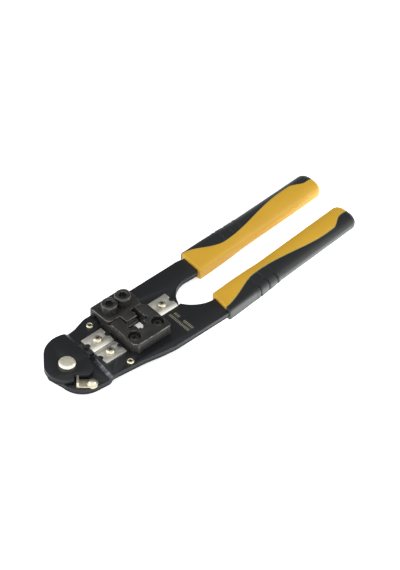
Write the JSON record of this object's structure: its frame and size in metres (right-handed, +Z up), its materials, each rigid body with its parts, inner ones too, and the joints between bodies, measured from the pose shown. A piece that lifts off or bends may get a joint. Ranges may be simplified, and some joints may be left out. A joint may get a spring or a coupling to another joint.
{
  "type": "modular plug crimping tool",
  "caption": "Flat hand crimping tool for modular plugs: two stamped levers on a rivet pivot, plug die and punch, stripping and cutting blades, catch and two-tone grips.",
  "frame": {"origin": "on the pivot axis, at the flat face of the pivot rivet's tail, in the plane that the tool lies on", "axes": "+X from the pivot along the jaws towards the handles, +Y towards the lever that carries the punch, +Z up along the pivot axis"},
  "size_m": [0.1898, 0.0504, 0.017],
  "materials": {
    "black_plate": "semi-gloss black finish on stamped steel",
    "black_oxide": "matt black oxide on machined steel",
    "zinc": "zinc plated steel",
    "blade_steel": "ground tool steel",
    "spring_steel": "drawn spring wire",
    "yellow_grip": "moulded satin plastic",
    "black_grip": "soft overmould, fine satin grain"
  },
  "bodies": {
    "die_body": {"die_lever": "black_plate", "pivot_rivet": "zinc", "return_spring": "spring_steel", "die_spring_eyelet": "zinc", "catch_rivet": "zinc", "die_block": "black_oxide", "die_screws": "black_oxide", "die_strip_blade": "blade_steel", "die_blade_screw": "zinc", "die_grip_core": "yellow_grip", "die_grip_overmould": "black_grip"},
    "punch_body": {"punch_lever": "black_plate", "punch_spring_eyelet": "zinc", "punch_block": "black_oxide", "punch_cap_screws": "black_oxide", "contact_comb": "blade_steel", "strain_relief_bar": "black_oxide", "punch_strip_blade": "blade_steel", "cutter_blade": "blade_steel", "punch_blade_screws": "zinc", "punch_grip_core": "yellow_grip", "punch_grip_overmould": "black_grip"},
    "catch_body": {"catch": "zinc"}
  },
  "joints": [
    {"name": "handle_open", "type": "hinge", "parent": "die_body", "child": "punch_body", "pos_m": [0, 0, 0.00645], "axis": [0, 0, 1], "range_deg": [0, 20], "deforming": ["return_spring"]},
    {"name": "catch_swing", "type": "hinge", "parent": "die_body", "child": "catch_body", "pos_m": [0.0019, -0.0169, 0.0055], "axis": [0, 0, 1], "range_deg": [0, 81]}
  ],
  "couplings": [
    {"joint": "catch_swing", "follows": "handle_open", "ratio": 4}
  ]
}
